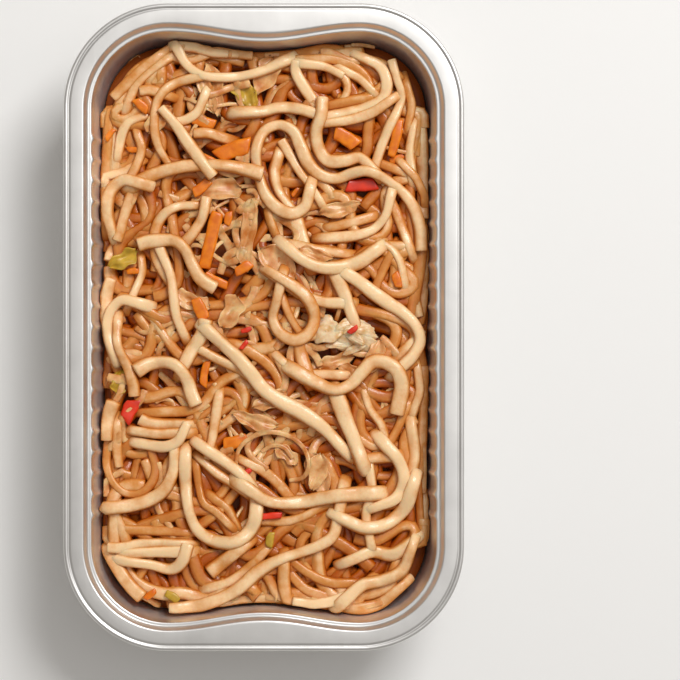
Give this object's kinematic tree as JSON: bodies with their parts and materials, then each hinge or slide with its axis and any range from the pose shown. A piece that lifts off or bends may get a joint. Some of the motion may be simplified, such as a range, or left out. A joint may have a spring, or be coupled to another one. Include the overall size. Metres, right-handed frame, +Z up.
{
  "type": "noodle takeaway tray",
  "caption": "Open rectangular pressed-foil tray with a rolled rim and ribbed long walls, filled with a heap of fried noodles and cut vegetables",
  "frame": {"origin": "middle of the tray's underside, on the surface it stands on", "axes": "+Z up, +Y along the tray's long side, +X across it"},
  "size_m": [0.13, 0.21, 0.0401],
  "materials": {
    "foil": "satin pressed foil",
    "noodle": "cooked wheat noodle, moist, lightly sauced",
    "carrot": "cooked carrot, moist",
    "pepper": "cooked red pepper skin, glossy",
    "leek": "cooked leek, moist",
    "cabbage": "cooked white cabbage, moist",
    "chicken": "flaked cooked chicken"
  },
  "bodies": {
    "root": {"tray": "foil", "noodles": "noodle", "carrot_1": "carrot", "carrot_2": "carrot", "carrot_3": "carrot", "carrot_4": "carrot", "carrot_5": "carrot", "carrot_6": "carrot", "carrot_7": "carrot", "carrot_8": "carrot", "carrot_9": "carrot", "pepper_1": "pepper", "pepper_2": "pepper", "pepper_3": "pepper", "leek_1": "leek", "leek_2": "leek", "leek_3": "leek", "cabbage_1": "cabbage", "cabbage_2": "cabbage", "cabbage_3": "cabbage", "chicken": "chicken"}
  },
  "joints": []
}
